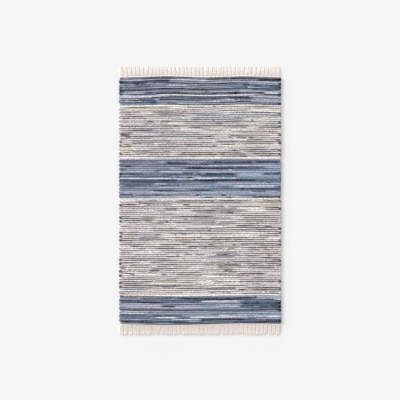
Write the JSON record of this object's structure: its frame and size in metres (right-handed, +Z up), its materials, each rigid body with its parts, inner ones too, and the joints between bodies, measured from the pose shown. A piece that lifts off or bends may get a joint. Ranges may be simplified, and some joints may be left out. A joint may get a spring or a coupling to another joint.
{
  "type": "rug",
  "caption": "Flat-woven rag rug lying on the floor, with raised picks across it in blue and cream bands, looped selvedges and a trimmed cotton fringe at both ends.",
  "frame": {"origin": "on the floor, under the middle of the rug with its fringe", "axes": "+X along the picks, across the rug; +Y along the warp, towards the far fringe; +Z up from the floor"},
  "size_m": [0.6, 1.0006, 0.0064],
  "materials": {
    "rag_weave": "torn cotton cloth woven as weft, in mottled blues, greys and creams, matt",
    "cotton_warp": "undyed cotton yarn, soft and matt"
  },
  "bodies": {
    "root": {"weave": "rag_weave", "fringe_far": "cotton_warp", "fringe_near": "cotton_warp"}
  },
  "joints": []
}
